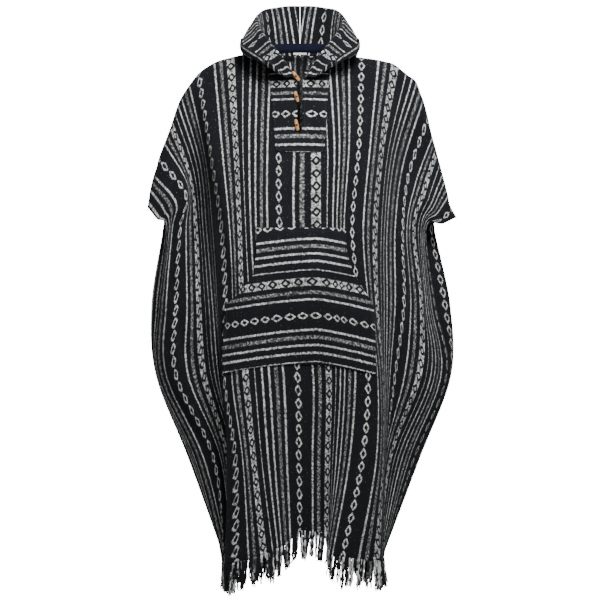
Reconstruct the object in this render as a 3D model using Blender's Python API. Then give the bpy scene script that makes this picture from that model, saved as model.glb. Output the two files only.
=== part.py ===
"""A hooded poncho of striped heavy cotton, hanging in folds with its sleeves down."""
import math

import bpy
import numpy as np

# Sizes in metres
UNIT = 0.00215
MM = 0.001
CLOTH = 0.0022
GAP = 0.0003
SIDE_GAP = 0.0006
NECK_HALF = 0.10
NECK_FRONT = 0.078
NECK_BACK = 0.066
NECK_POWER = 0.8
SLIT_HALF = 0.004
SLIT_STATION = 0.86
CREST_ROUND = 0.012
CREST_QUICK = 0.05
FRONT_STEPS = 2
BACK_STEPS = 3
JOINED_FROM = 2.6
ROWS_PER_STATION = 3
NEAR_TOP = 0.07
SEAM_REACH = 0.018
SLOPE_STEP = 0.002
BIB_LIFT = 0.001
PROBES = 200
BIB_COLUMNS = 6
BIB_ROWS = 12
POCKET_COLUMNS = 21
POCKET_ROWS = 12
POCKET_PUFF = 0.014
POCKET_GAPE = 0.6
POCKET_HIGH = 0.6
POCKET_LIFT = 0.0011
POCKET_ARCH = 0.14
TOGGLE_WIDE = 0.0085
TOGGLE_SIDES = 10
LOOP_THICK = 0.0018
LOOP_BESIDE = 0.0125
LOOP_HALF_WIDE = 0.006
LOOP_HALF_HIGH = 0.0035
LOOP_POINTS = 10
HOOD_TURNS = 16
HOOD_STEPS = 3
TAPE_FROM = 9
TAPE_LOW = 0.3
TAPE_HIGH = 0.85
TAPE_THICK = 0.0009
LABEL_FROM = 15
LABEL_LOW = 0.1
LABEL_APART = 0.012
LABEL_THICK = 0.0008
STRIP_LIFT = 0.0004
STRAND_LONG = 0.068
STRAND_SWAY = 0.005
STRAND_SPREAD = 0.0012
STRAND_SHORTEST = 0.72
STRAND_RINGS = ((0.4, 0.75), (1.0, 0.5))
SWAY_WAVES = (0.9, 0.37)
FRINGE_INSET = 0.15
STRIP_HIGH = 0.004
FRINGE_FRONT = 74
FRINGE_BACK = 60

# Heights of the stations between the top line and the hem, in chart units below the neck
POCKET_DROP, WAIST_DROP, THIGH_DROP, KNEE_DROP = 175.0, 250.0, 320.0, 405.0

# Columns of both panel charts: across is mm along the cloth, x and drop are chart units,
# out is mm away from the wearer's middle plane
PANEL_COLUMNS = (
    "across", "top_x", "top_drop", "chest_x", "chest_out", "pocket_x", "pocket_out",
    "waist_x", "waist_out", "thigh_x", "thigh_out", "knee_x", "knee_out",
    "hem_x", "hem_out", "hem_drop",
)
FRONT_CHART = (
    (-507, -153, 152, -144, 32, -134, 32, -142, 0, -143, -5, -108, -10, -74, 0, 505),
    (-485, -150, 135, -136, 40, -131, 40, -141, 24, -142, 20, -105, 18, -77, 16, 507),
    (-454, -146, 121, -124, 48, -128, 41, -134, 44, -134, 42, -96, 38, -71, 28, 508),
    (-425, -142, 104, -114, 44, -120, 49, -124, 58, -124, 56, -86, 54, -76, 42, 508),
    (-391, -136, 88, -112, 22, -114, 30, -113, 46, -112, 48, -79, 50, -69, 52, 509),
    (-354, -129, 70, -110, 14, -104, 16, -101, 52, -96, 64, -73, 66, -76, 64, 510),
    (-311, -122, 50, -103, 17, -97, 30, -91, 84, -85, 86, -66, 82, -68, 76, 511),
    (-279, -115, 36, -97, 42, -90, 66, -84, 106, -79, 100, -72, 98, -72, 92, 511),
    (-250, -107, 24, -93, 76, -84, 112, -80, 126, -79, 128, -71, 122, -74, 112, 511),
    (-235, -102, 18, -90, 90, -78, 128, -74, 138, -76, 142, -64, 138, -64, 130, 508),
    (-201, -86, 7, -78, 104, -70, 144, -67, 152, -68, 154, -57, 150, -51, 146, 504),
    (-164, -70, 2, -64, 112, -60, 152, -58, 160, -54, 158, -46, 152, -36, 150, 500),
    (-139, -57, -1, -57, 118, -54, 156, -50, 162, -45, 154, -38, 146, -27, 142, 496),
    (-89, -36, 2, -38, 124, -38, 158, -32, 160, -23.5, 146, -19, 134, -14, 124, 489),
    (-45, -17, 6, -21, 128, -20, 160, -12, 158, -2.5, 136, -1, 118, 0, 106, 477),
    (0, 0, 7, 0, 128, 0, 158, 9, 154, 18, 134, 17, 116, 17, 102, 478),
    (26, 12, 7, 16, 126, 17, 156, 22, 154, 29, 138, 28, 124, 27, 114, 478),
    (60, 25, 5, 31, 122, 30, 153, 34, 152, 38, 149, 34, 136, 29, 126, 481),
    (90, 38, 0, 41, 120, 38, 151, 42, 152, 46, 153, 41, 142, 28, 139, 492),
    (116, 49, 1, 49, 120, 44, 152, 50, 156, 55, 160, 49, 150, 32, 150, 500),
    (145, 62, 2, 59, 120, 52, 156, 60, 162, 68, 164, 62, 160, 42, 158, 502),
    (194, 86, 6, 75, 110, 68, 148, 72, 154, 80, 150, 80, 152, 66, 148, 505),
    (216, 95, 9, 82, 100, 75, 136, 77, 142, 83, 130, 83, 132, 77, 132, 506),
    (240, 106, 18, 88, 84, 81, 118, 81, 124, 83, 108, 84, 108, 82, 112, 507),
    (275, 117, 27, 95, 50, 87, 90, 87, 98, 86, 87, 84, 88, 79, 96, 507),
    (306, 123, 46, 103, 20, 95, 70, 95, 82, 90, 78, 85, 72, 80, 82, 506),
    (335, 128, 64, 109, 14, 103, 72, 104, 84, 95, 78, 86, 60, 84, 68, 506),
    (370, 133, 82, 116, 20, 107, 58, 111, 72, 105, 74, 85, 50, 83, 54, 505),
    (406, 136, 98, 124, 34, 114, 48, 122, 62, 119, 66, 90, 46, 81, 42, 505),
    (449, 143, 119, 132, 40, 121, 42, 126, 42, 131, 48, 98, 40, 80, 30, 504),
    (490, 148, 138, 137, 36, 124, 38, 131, 26, 140, 28, 108, 24, 82, 18, 503),
    (525, 152, 155, 141, 32, 126, 36, 135, 10, 147, 8, 114, 4, 83, 6, 502),
    (545, 157, 162, 144, 28, 127, 32, 137, 0, 149, -6, 117, -8, 82, -4, 502),
)
BACK_CHART = (
    (-507, -153, 152, -144, 26, -134, 30, -142, 0, -143, 5, -108, 10, -74, 0, 505),
    (-480, -150, 133, -138, 34, -138, 38, -149, 16, -145, 22, -112, 26, -75, 14, 507),
    (-430, -142, 106, -128, 42, -128, 52, -140, 54, -134, 58, -104, 54, -76, 32, 508),
    (-360, -130, 72, -118, 44, -114, 66, -122, 90, -116, 88, -94, 80, -78, 60, 510),
    (-290, -118, 40, -104, 46, -98, 82, -101, 106, -96, 112, -78, 102, -66, 82, 510),
    (-220, -96, 15, -86, 88, -80, 106, -80, 124, -76, 128, -66, 112, -62, 108, 508),
    (-150, -62, 0, -60, 108, -58, 122, -56, 130, -55, 126, -46, 128, -45, 124, 500),
    (-80, -36, 0, -34, 114, -32, 128, -30, 134, -30, 140, -26, 126, -24, 114, 488),
    (0, 0, 0, 0, 112, 0, 124, 0, 128, 0, 130, 0, 134, 0, 132, 468),
    (80, 34, 0, 34, 116, 32, 130, 32, 136, 30, 138, 27, 126, 24, 116, 467),
    (150, 62, 2, 60, 108, 57, 122, 58, 130, 57, 128, 48, 130, 46, 122, 488),
    (220, 98, 12, 86, 88, 80, 106, 82, 124, 80, 126, 68, 114, 64, 106, 502),
    (290, 120, 36, 104, 50, 98, 84, 102, 108, 100, 110, 82, 100, 70, 84, 507),
    (370, 133, 82, 118, 46, 118, 72, 124, 88, 120, 86, 98, 76, 84, 58, 506),
    (440, 142, 115, 130, 42, 131, 52, 141, 54, 138, 58, 110, 50, 82, 40, 504),
    (515, 151, 151, 141, 34, 134, 38, 149, 18, 152, 20, 120, 20, 83, 16, 503),
    (545, 157, 162, 144, 26, 127, 30, 137, 0, 149, 6, 117, 8, 82, 4, 502),
)
# Soft pleats laid over the charts: where they start and their full depth, in stations and mm
PLEAT_COLUMNS = ("from_across", "to_across", "count", "start", "depth")
FRONT_PLEATS = (
    (-225, -45, 2, 3.6, 4),
)
BACK_PLEATS = (
    (-340, 340, 5, 2.2, 17),
)
# The bib's and pocket's edges on the front panel: station, left and right across in mm
BIB_EDGES = ((0.1, -78, 70), (0.5, -66, 56), (1.08, -52, 42))
POCKET_EDGES = (
    (1.98, -104, 124), (2.3, -108, 128), (2.6, -124, 142),
    (2.85, -168, 168), (3.02, -226, 188), (3.3, -230, 184), (4.0, -234, 166),
)
# The hood's right half, a row for each direction round the neck, all in mm: the seam, the
# standing crest, the outer fall, the low bend and the rim
HOOD_COLUMNS = (
    "seam_x", "seam_y", "seam_z", "crest_x", "crest_y", "crest_z",
    "fall_x", "fall_y", "fall_z", "low_x", "low_y", "low_z", "rim_x", "rim_y", "rim_z",
)
HOOD_CHART = (
    (7, -102, -54, 14, -112, -50, 22, -112, -48, 32, -116, -46, 38, -121, -40),
    (34, -94, -14, 48, -104, 8, 66, -98, -4, 86, -104, -16, 84, -118, -4),
    (61, -49, -2, 76, -62, 42, 98, -56, 26, 124, -62, 10, 120, -82, 20),
    (84, -3, 4, 91, -10, 74, 107, -8, 57, 120, -6, 34, 129, -24, 40),
    (67, 37, 1, 76, 42, 96, 96, 56, 68, 112, 68, 28, 123, 80, 0),
    (38, 57.5, 1, 46, 68, 106, 60, 98, 62, 72, 122, -20, 78, 134, -76),
    (0, 66.5, 1, 0, 76, 108, 0, 112, 60, 0, 142, -60, 0, 156, -150),
)
# A toggle's outline: shares of its length and of its width
TOGGLE_RINGS = ((0.0, 0.5), (0.15, 0.9), (0.5, 1.0), (0.85, 0.9), (1.0, 0.5))
# Each toggle's middle, how far its ends lean and reach, and its lift, in mm
TOGGLE_COLUMNS = ("x", "z", "lean", "reach", "lift")
TOGGLE_ROWS = (
    (-8.6, -47, 7.7, 10.3, 6.9),
    (-7.5, -91, 3.2, 11.8, -1.2),
    (-7.0, -152, 2.7, 12.5, -1.4),
)


def clear_scene():
    for thing in list(bpy.data.objects):
        bpy.data.objects.remove(thing, do_unlink=True)


def slopes(spots, values):
    """Slopes of a smooth curve through the values, level where they turn."""
    steps = np.diff(spots)
    rise = np.diff(values) / steps
    slope = np.empty(len(values))
    slope[0], slope[-1] = rise[0], rise[-1]
    slope[1:-1] = (rise[:-1] * steps[1:] + rise[1:] * steps[:-1]) / (steps[1:] + steps[:-1])
    return slope


def smooth(spots, values, at):
    """The smooth curve through values at the spots, read at the places asked for."""
    spots = np.asarray(spots, float)
    values = np.asarray(values, float)
    at = np.clip(np.asarray(at, float), spots[0], spots[-1])
    slope = slopes(spots, values)
    cell = np.clip(np.searchsorted(spots, at, side="right") - 1, 0, len(spots) - 2)
    wide = spots[cell + 1] - spots[cell]
    t = (at - spots[cell]) / wide
    start = values[cell] * (2 * t**3 - 3 * t**2 + 1) + wide * slope[cell] * (t**3 - 2 * t**2 + t)
    end = values[cell + 1] * (3 * t**2 - 2 * t**3) + wide * slope[cell + 1] * (t**3 - t**2)
    return start + end


def column(chart, names, name):
    return np.array([row[names.index(name)] for row in chart], float)


def pleats(table, across, station):
    """How far the soft pleats lift the cloth, in metres."""
    lift = np.zeros(np.broadcast(across, station).shape)
    for start_at, end_at, count, start, depth in table:
        t = np.clip((across / MM - start_at) / (end_at - start_at), 0, 1)
        grow = np.clip((station - start) / (6 - start), 0, 1) ** 0.7
        lift = lift + grow * depth * MM * np.sin(math.pi * t) * np.sin(2 * math.pi * count * t)
    return lift


def panel(chart, table, neck_out, side, across, station):
    """Points of a panel's outer face, for arrays of across (m) and station (0 top to 6 hem)."""
    across, station = np.broadcast_arrays(np.asarray(across, float), np.asarray(station, float))
    spots = column(chart, PANEL_COLUMNS, "across") * MM

    def read(name):
        return smooth(spots, column(chart, PANEL_COLUMNS, name), across)

    neck = np.clip(1 - (across / NECK_HALF) ** 2, 0, 1) ** NECK_POWER * neck_out
    top_drop = read("top_drop")
    levels = ("pocket", "waist", "thigh", "knee")
    xs = np.stack([read(k + "_x") for k in ("top", "chest") + levels + ("hem",)]) * UNIT
    outs = np.stack([neck] + [read(k + "_out") * MM for k in ("chest",) + levels + ("hem",)])
    fixed = [np.full(across.shape, d) for d in (POCKET_DROP, WAIST_DROP, THIGH_DROP, KNEE_DROP)]
    drops = np.stack([top_drop, (top_drop + POCKET_DROP) / 2] + fixed + [read("hem_drop")])
    low = np.clip(station.astype(int), 0, 5)
    t = station - low

    def along(stack):
        def at(k):
            return np.take_along_axis(stack, np.clip(k, 0, 6)[None], 0)[0]
        before, here, after, beyond = at(low - 1), at(low), at(low + 1), at(low + 2)
        leave = np.where(low == 0, after - here, (after - before) / 2)
        arrive = np.where(low == 5, after - here, (beyond - here) / 2)
        turn = (2 * t**3 - 3 * t**2 + 1) * here + (3 * t**2 - 2 * t**3) * after
        return turn + (t**3 - 2 * t**2 + t) * leave + (t**3 - t**2) * arrive

    out = along(outs)
    near_top = np.clip(station, 0, 1)
    out = out + CREST_ROUND * (1 - np.exp(-near_top / CREST_QUICK)) * (1 - near_top) ** 2
    out = out + pleats(table, across, station)
    return np.stack([along(xs), side * out, -along(drops) * UNIT], -1)


def front(across, station):
    return panel(FRONT_CHART, FRONT_PLEATS, NECK_FRONT, -1, across, station)


def back(across, station):
    return panel(BACK_CHART, BACK_PLEATS, NECK_BACK, 1, across, station)


def grid_normals(points):
    """Unit normals of a grid of points, pointing to the right of along cross across."""
    across = np.gradient(points, axis=0)
    along = np.gradient(points, axis=1)
    normal = np.cross(across, along)
    return normal / np.maximum(np.linalg.norm(normal, axis=-1, keepdims=True), 1e-9)


def colour_of(slot):
    shades = {
        "cloth": (0.03, 0.034, 0.04),
        "toggle_wood": (0.62, 0.44, 0.27),
        "label": (0.8, 0.8, 0.78),
    }
    return shades.get(slot, (0.015, 0.016, 0.03))


def facing_out(verts, faces):
    """The faces, all turned over if they enclose their volume from the wrong side."""
    verts = np.asarray(verts, float)
    volume = 0.0
    for f in faces:
        for a, b in zip(f[1:-1], f[2:]):
            volume += float(np.dot(verts[f[0]], np.cross(verts[a], verts[b])))
    return [tuple(f) if volume > 0 else tuple(reversed(f)) for f in faces]


def add_object(name, verts, faces, slot):
    faces = facing_out(verts, faces)
    mesh = bpy.data.meshes.new(name)
    mesh.from_pydata([tuple(v) for v in verts], [], faces)
    mesh.update()
    thing = bpy.data.objects.new(name, mesh)
    bpy.context.scene.collection.objects.link(thing)
    paint = bpy.data.materials.new(name + "_" + slot)
    paint.use_nodes = True
    shader = paint.node_tree.nodes["Principled BSDF"]
    shader.inputs["Base Color"].default_value = (*colour_of(slot), 1)
    shader.inputs["Roughness"].default_value = 0.9
    mesh.materials.append(paint)
    return thing


def wall(name, outer, inner, quads, slot):
    """A closed wall between two sheets of points that share the same quads."""
    count = len(outer)
    halves = [(q[0], q[1], q[2]) for q in quads] + [(q[0], q[2], q[3]) for q in quads]
    faces = halves + [tuple(count + v for v in reversed(h)) for h in halves]
    sides = {}
    for q in quads:
        for a, b in zip(q, tuple(q[1:]) + (q[0],)):
            if (b, a) in sides:
                del sides[(b, a)]
            else:
                sides[(a, b)] = True
    faces += [(b, a, count + a, count + b) for a, b in sides]
    return add_object(name, np.concatenate([outer, inner]), faces, slot)


def grid_quads(columns, rows, flip=False, first=0):
    quads = []
    for i in range(columns - 1):
        for j in range(rows - 1):
            a = first + i * rows + j
            q = (a, a + 1, a + rows + 1, a + rows)
            quads.append(q[::-1] if flip else q)
    return quads


def panel_rows():
    """The stations of a panel's rows: even ones, and one more close to the top line."""
    even = np.linspace(0, 6, 6 * ROWS_PER_STATION + 1)
    return np.insert(even, 1, NEAR_TOP)


def chart_places(chart, steps):
    """Places across the cloth: each row of the chart, and even steps between rows."""
    spots = column(chart, PANEL_COLUMNS, "across") * MM
    return np.interp(np.arange((len(spots) - 1) * steps + 1) / steps, range(len(spots)), spots)


def seam_line(edge, rows):
    """The side seam at one edge: its middle line, the way along the ring, and the way out."""
    step = -math.copysign(SEAM_REACH, edge)
    middle = (front(edge, rows) + back(edge, rows)) / 2
    way = back(edge + step, rows) - front(edge + step, rows)
    way[:, 2] = 0
    way /= np.linalg.norm(way, axis=-1, keepdims=True)
    out = np.stack([way[:, 1], -way[:, 0], np.zeros(len(rows))], -1)
    return middle, way, out * np.sign(out[:, :1] * edge)


def sheets(surface, side, across):
    """A panel's places across the cloth, and its outer and inner points."""
    rows = panel_rows()
    points = surface(across[:, None], rows[None, :])
    shoulder = np.abs(across) >= NECK_HALF
    points[shoulder, 0, 1] = side * GAP / 2
    joined = np.clip((rows - 2) / (JOINED_FROM - 2), 0, 1)[:, None]
    lines = {edge: seam_line(across[edge], rows) for edge in (0, -1)}
    for edge, (middle, way, out) in lines.items():
        points[edge] += (middle - points[edge]) * joined
        points[edge, 1:] += side * way[1:] * SIDE_GAP / 2
    normal = grid_normals(points)
    normal *= np.sign(np.sum(normal[:, :, 1] * side))
    inner = points - normal * CLOTH
    for edge, (middle, way, out) in lines.items():
        lean = normal[edge] * (1 - joined) + out * joined
        lean /= np.linalg.norm(lean, axis=-1, keepdims=True)
        inner[edge] = points[edge] - lean * CLOTH
    inner[shoulder, 0] = points[shoulder, 0] - np.array([0, 0, CLOTH])
    return across, points, inner


def front_sheets():
    return sheets(front, -1, chart_places(FRONT_CHART, FRONT_STEPS))


def back_sheets():
    return sheets(back, 1, chart_places(BACK_CHART, BACK_STEPS))


def front_panel():
    """The front, slit down the middle: the slit's right edge gets points of its own."""
    across, points, inner = front_sheets()
    rows = panel_rows()
    middle = int(np.argmin(np.abs(across)))
    quads = grid_quads(len(across), len(rows))
    outer, inside = points.reshape(-1, 3), inner.reshape(-1, 3)
    slit = [middle * len(rows) + j for j, s in enumerate(rows) if s < SLIT_STATION]
    copies = {old: len(outer) + n for n, old in enumerate(slit)}
    shift = np.array([SLIT_HALF, 0, 0])
    outer, inside = [np.concatenate([sheet, sheet[slit] + shift]) for sheet in (outer, inside)]
    outer[slit] -= shift
    inside[slit] -= shift
    first_right = middle * (len(rows) - 1)
    quads = [
        tuple(copies.get(v, v) for v in q) if n >= first_right else q for n, q in enumerate(quads)
    ]
    return wall("front", outer, inside, quads, "cloth")


def back_panel():
    across, points, inner = back_sheets()
    quads = grid_quads(*points.shape[:2])
    return wall("back", points.reshape(-1, 3), inner.reshape(-1, 3), quads, "cloth")


def patch(edges, count_across, count_along, lift, puff=0.0, arch=0.0, half=None):
    """Points of a piece laid on the front panel: its under face and its outer face."""
    table = np.array(edges, float)
    rows = np.linspace(table[0, 0], table[-1, 0], count_along)
    left = np.interp(rows, table[:, 0], table[:, 1]) * MM
    right = np.interp(rows, table[:, 0], table[:, 2]) * MM
    u = np.linspace(0, 1, count_across)[:, None]
    if half == "left":
        right = np.zeros_like(rows)
    if half == "right":
        left = np.zeros_like(rows)
    across = left + (right - left) * u
    down = np.linspace(0, 1, count_along)
    rows = rows - arch * (1 - (2 * u - 1) ** 2) * down
    points = front(across, rows)
    wide, long = across + SLOPE_STEP, rows + SLOPE_STEP
    d_across = front(wide, rows) - front(wide - 2 * SLOPE_STEP, rows)
    d_along = front(across, long) - front(across, long - 2 * SLOPE_STEP)
    normal = np.cross(d_along, d_across)
    normal /= np.linalg.norm(normal, axis=-1, keepdims=True)
    normal *= -np.sign(np.sum(normal[:, :, 1]))
    gape = POCKET_GAPE + (1 - POCKET_GAPE) * np.sin(math.pi * u)
    swell = puff * gape * np.sin(math.pi * down ** POCKET_HIGH)
    under = points + normal * (lift + swell[:, :, None])
    return under, under + normal * CLOTH


def bib():
    columns, rows = BIB_COLUMNS, BIB_ROWS
    parts = [patch(BIB_EDGES, columns, rows, BIB_LIFT, half=h) for h in ("left", "right")]
    unders, outers = [np.concatenate([p[k] for p in parts]) for k in (0, 1)]
    steps = np.linspace(BIB_EDGES[0][0], BIB_EDGES[-1][0], rows)
    open_rows = int(np.sum(steps < SLIT_STATION))
    for sheet in (unders, outers):
        sheet[columns - 1, :open_rows, 0] -= SLIT_HALF
        sheet[columns, :open_rows, 0] += SLIT_HALF
    half = columns * rows
    quads = grid_quads(columns, rows) + grid_quads(columns, rows, first=half)
    joined = {half + j: half - rows + j for j in range(open_rows, rows)}
    quads = [tuple(joined.get(v, v) for v in q) for q in quads]
    keep = [v for v in range(2 * half) if v not in joined]
    order = {v: n for n, v in enumerate(keep)}
    quads = [tuple(order[v] for v in q) for q in quads]
    outer = outers.reshape(-1, 3)[keep]
    under = unders.reshape(-1, 3)[keep]
    return wall("placket", outer, under, quads, "cloth")


def pocket():
    columns, rows = POCKET_COLUMNS, POCKET_ROWS
    under, outer = patch(POCKET_EDGES, columns, rows, POCKET_LIFT, POCKET_PUFF, POCKET_ARCH)
    quads = grid_quads(columns, rows)
    return wall("pocket", outer.reshape(-1, 3), under.reshape(-1, 3), quads, "cloth")


def hood_points(turn, profile):
    """Points of the hood's right half: turn 0 front to 1 back, profile 0 seam to 4 rim."""
    chart = np.array(HOOD_CHART, float).reshape(len(HOOD_CHART), 5, 3) * MM
    spots = np.linspace(0, 1, len(HOOD_CHART))
    turn, profile = np.broadcast_arrays(turn, profile)
    stack = np.stack([
        np.stack([smooth(spots, chart[:, k, axis], turn) for axis in range(3)], -1)
        for k in range(5)
    ])
    low = np.clip(profile.astype(int), 0, 3)
    t = (profile - low)[..., None]

    def at(k):
        return np.take_along_axis(stack, np.clip(k, 0, 4)[None, ..., None], 0)[0]

    before, here, after, beyond = at(low - 1), at(low), at(low + 1), at(low + 2)
    leave = (after - before) / 2
    arrive = (beyond - here) / 2
    turnover = (2 * t**3 - 3 * t**2 + 1) * here + (3 * t**2 - 2 * t**3) * after
    return turnover + (t**3 - 2 * t**2 + t) * leave + (t**3 - t**2) * arrive


def hood(name, side):
    turn = np.linspace(0, 1, HOOD_TURNS + 1)[:, None]
    profile = np.linspace(0, 4, 4 * HOOD_STEPS + 1)[None, :]
    points = hood_points(turn, profile)
    points[-1, :, 0] = 0
    normal = grid_normals(points)
    normal[-1, :, 0] = 0
    normal /= np.linalg.norm(normal, axis=-1, keepdims=True)
    normal *= np.sign(np.sum(normal[:, HOOD_STEPS, 2]))
    inner = points - normal * CLOTH
    points[:, :, 0] += GAP / 2
    inner[:, :, 0] += GAP / 2
    for sheet in (points, inner):
        sheet[:, :, 0] *= side
    quads = grid_quads(*points.shape[:2])
    return wall(name, points.reshape(-1, 3), inner.reshape(-1, 3), quads, "cloth")


def turned_bar(name, start, end, wide, sides, slot):
    """A straight turned bar, narrowed at both ends."""
    start, end = np.array(start), np.array(end)
    way = (end - start) / np.linalg.norm(end - start)
    across = np.cross(way, [0, 1, 0])
    across /= np.linalg.norm(across)
    deep = np.cross(way, across)
    verts = []
    for t, swell in TOGGLE_RINGS:
        middle = start + (end - start) * t
        for k in range(sides):
            a = 2 * math.pi * k / sides
            off = across * math.cos(a) * wide / 2 + deep * math.sin(a) * wide / 2
            verts.append(middle + off * swell)
    faces = [tuple(reversed(range(sides)))]
    for r in range(len(TOGGLE_RINGS) - 1):
        for k in range(sides):
            a, b = r * sides + k, r * sides + (k + 1) % sides
            faces.append((a, b, b + sides, a + sides))
    faces.append(tuple((len(TOGGLE_RINGS) - 1) * sides + k for k in range(sides)))
    return add_object(name, verts, faces, slot)


def bib_face(x, z, half_wide=0.001, half_high=0.001):
    """How far forward the bib's outer face comes round a place near the slit."""
    rows = np.linspace(0, BIB_EDGES[-1][0], PROBES)
    foremost = []
    for side_x in (x - half_wide, x + half_wide):
        points = front(np.full(PROBES, side_x), rows)
        heights = (z - half_high, z, z + half_high)
        foremost += [np.interp(-h, -points[:, 2], points[:, 1]) for h in heights]
    return float(min(foremost)) - CLOTH - BIB_LIFT


def toggles():
    for n, (x_mm, z_mm, lean_mm, reach_mm, lift_mm) in enumerate(TOGGLE_ROWS):
        x, z, reach = x_mm * MM, z_mm * MM, reach_mm * MM
        y = bib_face(x, z, TOGGLE_WIDE, reach) - TOGGLE_WIDE / 2 - GAP - lift_mm * MM
        top = (x - lean_mm * MM, y, z + reach)
        bottom = (x + lean_mm * MM, y, z - reach)
        turned_bar(f"toggle_{n + 1}", top, bottom, TOGGLE_WIDE, TOGGLE_SIDES, "toggle_wood")
        loop(n + 1, x, y, z)


def loop(number, x, y, z):
    """A flat cord loop that lies on the bib to the right of its toggle."""
    middle = x + LOOP_BESIDE
    count = LOOP_POINTS
    ring = []
    for k in range(count):
        a = 2 * math.pi * k / count
        ring.append((middle + LOOP_HALF_WIDE * math.cos(a), z + LOOP_HALF_HIGH * math.sin(a)))
    verts = []
    for cx, cz in ring:
        cy = bib_face(cx, cz) - GAP - LOOP_THICK / 2
        out = np.array([cx - middle, 0, cz - z])
        out /= np.linalg.norm(out)
        for k in range(4):
            a = math.pi / 4 + math.pi / 2 * k
            verts.append(np.array([cx, cy, cz]) + out * LOOP_THICK / 2 * math.cos(a)
                         + np.array([0, 1, 0]) * LOOP_THICK / 2 * math.sin(a))
    faces = []
    for k in range(count):
        for m in range(4):
            a, b = k * 4 + m, k * 4 + (m + 1) % 4
            c, d = ((k + 1) % count) * 4 + (m + 1) % 4, ((k + 1) % count) * 4 + m
            faces.append((a, b, c, d))
    return add_object(f"loop_{number}", verts, faces, "cord")


def strip_on_hood(name, first_turn, low, high, thick, slot):
    """A strip on the hood's face towards the neck, between two heights over its seam."""
    turn = np.arange(first_turn, HOOD_TURNS + 1) / HOOD_TURNS
    seam, above = np.moveaxis(hood_points(turn[:, None], np.array([[0.0, 1 / HOOD_STEPS]])), 1, 0)
    right = np.stack([seam + (above - seam) * low, seam + (above - seam) * high], 1)
    left = right[::-1][1:].copy()
    left[:, :, 0] *= -1
    points = np.concatenate([right, left])
    way = -points.copy()
    way[:, :, 2] = 0
    way /= np.linalg.norm(way, axis=-1, keepdims=True)
    base = points + way * STRIP_LIFT
    face = base + way * thick
    quads = grid_quads(len(points), 2)
    return wall(name, face.reshape(-1, 3), base.reshape(-1, 3), quads, slot)


def between(values, at):
    """Values on the straight lines between a row of points, at places counted along it."""
    low = np.clip(np.floor(at).astype(int), 0, len(values) - 2)
    t = (at - low)[:, None]
    return values[low] * (1 - t) + values[low + 1] * t


def fringe(name, sheets, count, seed):
    """Strands of the fringe, rooted in a narrow strip just under the hem."""
    dice = np.random.default_rng(seed)
    points, inner = sheets[1][:, -1], sheets[2][:, -1]
    at = np.linspace(FRINGE_INSET, len(points) - 1 - FRINGE_INSET, 2 * count + 1)
    drop = np.array([0, 0, 2 * GAP])
    outer_top, inner_top = between(points, at) - drop, between(inner, at) - drop
    sway = STRAND_SWAY * np.sin(at * SWAY_WAVES[0] + seed) * np.sin(at * SWAY_WAVES[1])
    verts, faces = [], []
    for high_out, high_in in zip(outer_top, inner_top):
        down = np.array([0, 0, STRIP_HIGH])
        verts += [high_out, high_in, high_in - down, high_out - down]
    for k in range(2 * count):
        a, b = 4 * k, 4 * k + 4
        faces += [(a, b, b + 1, a + 1), (a + 1, b + 1, b + 2, a + 2), (a, a + 3, b + 3, b)]
        if k % 2 == 0:
            faces.append((a + 2, b + 2, b + 3, a + 3))
        else:
            faces += strand(verts, a, b, sway[k], dice)
    last = 8 * count
    faces += [(0, 1, 2, 3), (last + 3, last + 2, last + 1, last)]
    return add_object(name, verts, faces, "cloth")


def strand(verts, a, b, sway, dice):
    """Grows one strand down from a face of the strip, and returns its faces."""
    corner = (a + 2, b + 2, b + 3, a + 3)
    base = np.array([verts[c] for c in corner])
    centre = base.mean(0)
    length = STRAND_LONG * dice.uniform(STRAND_SHORTEST, 1.0)
    lean = sway + dice.uniform(-1, 1) * STRAND_SPREAD
    faces, last = [], corner
    for t, swell in STRAND_RINGS:
        shift = np.array([lean * t, lean * t * 0.5, -length * t])
        first = len(verts)
        for p in base:
            verts.append(centre + (p - centre) * swell + shift)
        ring = tuple(range(first, first + 4))
        for k in range(4):
            faces.append((last[k], last[(k + 1) % 4], ring[(k + 1) % 4], ring[k]))
        last = ring
    faces.append(last)
    return faces


def main():
    clear_scene()
    front_panel()
    back_panel()
    bib()
    pocket()
    hood("hood_left", -1)
    hood("hood_right", 1)
    strip_on_hood("neck_tape", TAPE_FROM, TAPE_LOW, TAPE_HIGH, TAPE_THICK, "tape")
    strip_on_hood("label", LABEL_FROM, LABEL_LOW, TAPE_LOW - LABEL_APART, LABEL_THICK, "label")
    toggles()
    fringe("fringe_front", front_sheets(), FRINGE_FRONT, 5)
    fringe("fringe_back", back_sheets(), FRINGE_BACK, 9)


main()
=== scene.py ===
"""Looks of the hooded poncho: striped brushed cotton, its folds, fringe, toggles and sewing."""
import math

import bpy
import numpy as np
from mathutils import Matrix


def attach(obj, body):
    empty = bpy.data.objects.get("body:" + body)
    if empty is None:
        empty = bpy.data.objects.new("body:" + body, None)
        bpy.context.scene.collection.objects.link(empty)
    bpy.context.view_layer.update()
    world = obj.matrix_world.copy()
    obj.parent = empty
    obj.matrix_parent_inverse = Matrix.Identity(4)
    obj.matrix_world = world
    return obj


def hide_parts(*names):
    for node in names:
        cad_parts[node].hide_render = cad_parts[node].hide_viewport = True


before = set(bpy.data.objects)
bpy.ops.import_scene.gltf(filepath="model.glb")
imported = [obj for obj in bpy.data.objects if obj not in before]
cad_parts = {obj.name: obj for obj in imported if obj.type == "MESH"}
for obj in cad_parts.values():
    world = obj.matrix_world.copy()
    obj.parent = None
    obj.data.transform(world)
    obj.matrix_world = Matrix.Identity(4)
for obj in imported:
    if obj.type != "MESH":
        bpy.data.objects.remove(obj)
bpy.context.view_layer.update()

# Sizes in metres
UNIT = 0.00215
MM = 0.001
CLOTH = 0.0022
GAP = 0.0003
SIDE_GAP = 0.0006
NECK_HALF = 0.10
NECK_FRONT = 0.078
NECK_BACK = 0.066
NECK_POWER = 0.8
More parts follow.
